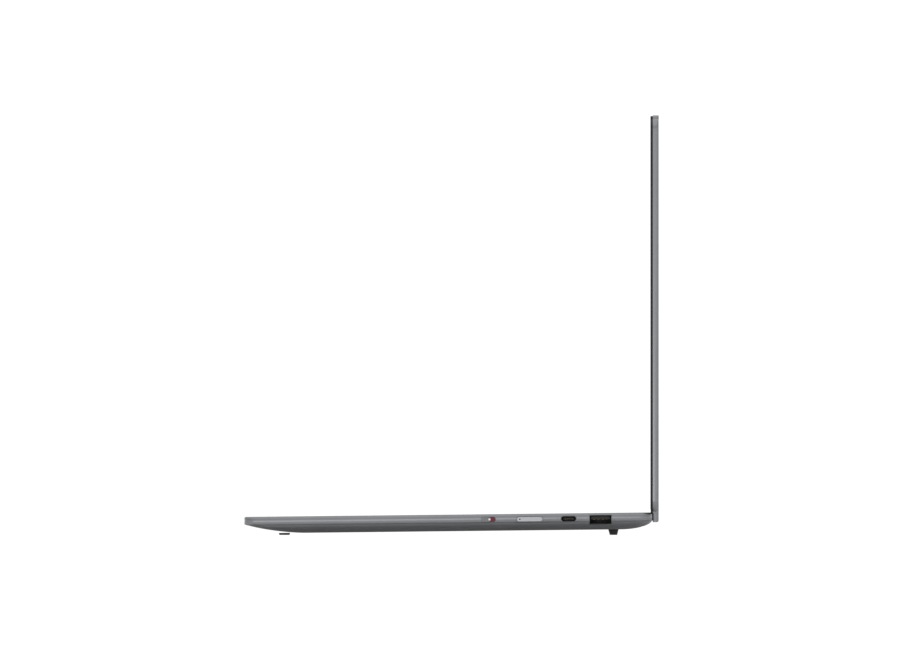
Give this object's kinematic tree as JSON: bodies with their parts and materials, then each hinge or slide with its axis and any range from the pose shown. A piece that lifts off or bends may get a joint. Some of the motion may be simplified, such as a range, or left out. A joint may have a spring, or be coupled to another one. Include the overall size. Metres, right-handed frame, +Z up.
{
  "type": "laptop computer",
  "caption": "Thin clamshell notebook computer with a drop-hinged display lid, a keyboard and touchpad deck, side sockets, a power button and a camera shutter switch.",
  "frame": {"origin": "bottom centre of the whole object, standing open on its feet with the lid upright", "axes": "+X to the user's right, +Y to the rear, +Z up"},
  "size_m": [0.3438, 0.2394, 0.2424],
  "materials": {
    "grey_anodised_aluminium": "fine bead-blasted grey anodising",
    "bright_anodised_aluminium": "lighter grey anodising",
    "grey_moulded_plastic": "moulded, fine matt grain",
    "black_moulded_plastic": "moulded, matt black",
    "grey_key_plastic": "moulded, silky dark grey",
    "black_screw_steel": "black zinc",
    "steel_sheet": "pressed sheet",
    "hinge_steel": "polished",
    "socket_steel": "stamped, nickel plated",
    "frosted_grey_glass": "etched glass, opaque grey",
    "black_display_glass": "smooth, black behind",
    "black_display_panel": "smooth film",
    "green_circuit_board": "solder mask",
    "black_chip_resin": "moulded resin",
    "black_film": "polyester film",
    "black_battery_wrap": "polyester wrap",
    "copper_pipe": "drawn copper",
    "clear_light_guide": "clear moulding",
    "red_printed_mark": "printed dark red",
    "black_rubber": "moulded, matt"
  },
  "bodies": {
    "base": {"battery_pack": "black_battery_wrap", "bottom_cover": "grey_anodised_aluminium", "bottom_screws": "black_screw_steel", "charge_light": "clear_light_guide", "fan_housings": "black_moulded_plastic", "fin_stacks": "copper_pipe", "front_foot": "black_rubber", "headphone_jack": "black_moulded_plastic", "heat_pipes": "copper_pipe", "hinge_brackets": "steel_sheet", "hinge_pins": "hinge_steel", "key_membrane": "black_film", "keyboard_frame": "black_moulded_plastic", "left_type_c_sockets": "socket_steel", "left_video_socket": "socket_steel", "mainboard": "green_circuit_board", "memory_chips": "black_chip_resin", "processor_package": "green_circuit_board", "rear_foot": "black_rubber", "rear_vent_grille": "black_moulded_plastic", "right_type_a_socket": "socket_steel", "right_type_c_socket": "socket_steel", "shutter_mark": "red_printed_mark", "speakers": "black_moulded_plastic", "ssd_module": "green_circuit_board", "top_case": "grey_anodised_aluminium", "touchpad_frame": "steel_sheet", "wireless_card": "green_circuit_board"},
    "lid": {"hinge_arms": "steel_sheet", "lid_back_cover": "grey_anodised_aluminium", "camera_bar": "grey_anodised_aluminium", "display_glass": "black_display_glass", "display_bezel": "black_moulded_plastic", "display_panel": "black_display_panel", "camera_module": "black_moulded_plastic", "lid_gasket": "black_rubber", "display_cable": "black_film"},
    "touchpad": {"touchpad_plate": "frosted_grey_glass"},
    "power_button": {"power_button": "bright_anodised_aluminium"},
    "shutter_slider": {"shutter_slider": "grey_moulded_plastic"},
    "left_fan": {"left_fan_impeller": "black_moulded_plastic"},
    "right_fan": {"right_fan_impeller": "black_moulded_plastic"},
    "escape_key": {"escape_key": "grey_key_plastic"},
    "function_keys": {"function_keys": "grey_key_plastic"},
    "number_keys": {"number_keys": "grey_key_plastic"},
    "backspace_key": {"backspace_key": "grey_key_plastic"},
    "tab_key": {"tab_key": "grey_key_plastic"},
    "upper_letter_keys": {"upper_letter_keys": "grey_key_plastic"},
    "caps_lock_key": {"caps_lock_key": "grey_key_plastic"},
    "home_letter_keys": {"home_letter_keys": "grey_key_plastic"},
    "enter_key": {"enter_key": "grey_key_plastic"},
    "left_shift_key": {"left_shift_key": "grey_key_plastic"},
    "lower_letter_keys": {"lower_letter_keys": "grey_key_plastic"},
    "right_shift_key": {"right_shift_key": "grey_key_plastic"},
    "modifier_keys": {"modifier_keys": "grey_key_plastic"},
    "space_bar": {"space_bar": "grey_key_plastic"},
    "left_arrow_key": {"left_arrow_key": "grey_key_plastic"},
    "up_arrow_key": {"up_arrow_key": "grey_key_plastic"},
    "down_arrow_key": {"down_arrow_key": "grey_key_plastic"},
    "right_arrow_key": {"right_arrow_key": "grey_key_plastic"}
  },
  "joints": [
    {"name": "lid_hinge", "type": "hinge", "parent": "base", "child": "lid", "pos_m": [0, 0.11244, 0.01062], "axis": [-1, 0, 0], "range_deg": [-90.6, 59.3]},
    {"name": "touchpad_press", "type": "hinge", "parent": "base", "child": "touchpad", "pos_m": [0, -0.02467, 0.01081], "axis": [1, 0, 0], "range_deg": [0, 0.24], "stiffness_Nm_per_rad": 50},
    {"name": "power_button_press", "type": "slide", "parent": "base", "child": "power_button", "axis": [-1, 0, 0], "range_m": [0, 0.00035], "stiffness_N_per_m": 5000},
    {"name": "shutter_slide", "type": "slide", "parent": "base", "child": "shutter_slider", "axis": [0, 0.9999, 0.011], "range_m": [0, 0.0028]},
    {"name": "left_fan_spin", "type": "hinge", "parent": "base", "child": "left_fan", "pos_m": [-0.106, 0.05839, 0.00573], "axis": [0, -0.011, 0.9999], "continuous": true},
    {"name": "right_fan_spin", "type": "hinge", "parent": "base", "child": "right_fan", "pos_m": [0.106, 0.05839, 0.00573], "axis": [0, -0.011, 0.9999], "continuous": true},
    {"name": "escape_key_press", "type": "slide", "parent": "base", "child": "escape_key", "axis": [0, 0.011, -0.9999], "range_m": [0, 0.0013], "stiffness_N_per_m": 400},
    {"name": "function_keys_press", "type": "slide", "parent": "base", "child": "function_keys", "axis": [0, 0.011, -0.9999], "range_m": [0, 0.0013], "stiffness_N_per_m": 400},
    {"name": "number_keys_press", "type": "slide", "parent": "base", "child": "number_keys", "axis": [0, 0.011, -0.9999], "range_m": [0, 0.0013], "stiffness_N_per_m": 400},
    {"name": "backspace_key_press", "type": "slide", "parent": "base", "child": "backspace_key", "axis": [0, 0.011, -0.9999], "range_m": [0, 0.0013], "stiffness_N_per_m": 400},
    {"name": "tab_key_press", "type": "slide", "parent": "base", "child": "tab_key", "axis": [0, 0.011, -0.9999], "range_m": [0, 0.0013], "stiffness_N_per_m": 400},
    {"name": "upper_letter_keys_press", "type": "slide", "parent": "base", "child": "upper_letter_keys", "axis": [0, 0.011, -0.9999], "range_m": [0, 0.0013], "stiffness_N_per_m": 400},
    {"name": "caps_lock_key_press", "type": "slide", "parent": "base", "child": "caps_lock_key", "axis": [0, 0.011, -0.9999], "range_m": [0, 0.0013], "stiffness_N_per_m": 400},
    {"name": "home_letter_keys_press", "type": "slide", "parent": "base", "child": "home_letter_keys", "axis": [0, 0.011, -0.9999], "range_m": [0, 0.0013], "stiffness_N_per_m": 400},
    {"name": "enter_key_press", "type": "slide", "parent": "base", "child": "enter_key", "axis": [0, 0.011, -0.9999], "range_m": [0, 0.0013], "stiffness_N_per_m": 400},
    {"name": "left_shift_key_press", "type": "slide", "parent": "base", "child": "left_shift_key", "axis": [0, 0.011, -0.9999], "range_m": [0, 0.0013], "stiffness_N_per_m": 400},
    {"name": "lower_letter_keys_press", "type": "slide", "parent": "base", "child": "lower_letter_keys", "axis": [0, 0.011, -0.9999], "range_m": [0, 0.0013], "stiffness_N_per_m": 400},
    {"name": "right_shift_key_press", "type": "slide", "parent": "base", "child": "right_shift_key", "axis": [0, 0.011, -0.9999], "range_m": [0, 0.0013], "stiffness_N_per_m": 400},
    {"name": "modifier_keys_press", "type": "slide", "parent": "base", "child": "modifier_keys", "axis": [0, 0.011, -0.9999], "range_m": [0, 0.0013], "stiffness_N_per_m": 400},
    {"name": "space_bar_press", "type": "slide", "parent": "base", "child": "space_bar", "axis": [0, 0.011, -0.9999], "range_m": [0, 0.0013], "stiffness_N_per_m": 400},
    {"name": "left_arrow_key_press", "type": "slide", "parent": "base", "child": "left_arrow_key", "axis": [0, 0.011, -0.9999], "range_m": [0, 0.0013], "stiffness_N_per_m": 400},
    {"name": "up_arrow_key_press", "type": "slide", "parent": "base", "child": "up_arrow_key", "axis": [0, 0.011, -0.9999], "range_m": [0, 0.0013], "stiffness_N_per_m": 400},
    {"name": "down_arrow_key_press", "type": "slide", "parent": "base", "child": "down_arrow_key", "axis": [0, 0.011, -0.9999], "range_m": [0, 0.0013], "stiffness_N_per_m": 400},
    {"name": "right_arrow_key_press", "type": "slide", "parent": "base", "child": "right_arrow_key", "axis": [0, 0.011, -0.9999], "range_m": [0, 0.0013], "stiffness_N_per_m": 400}
  ]
}
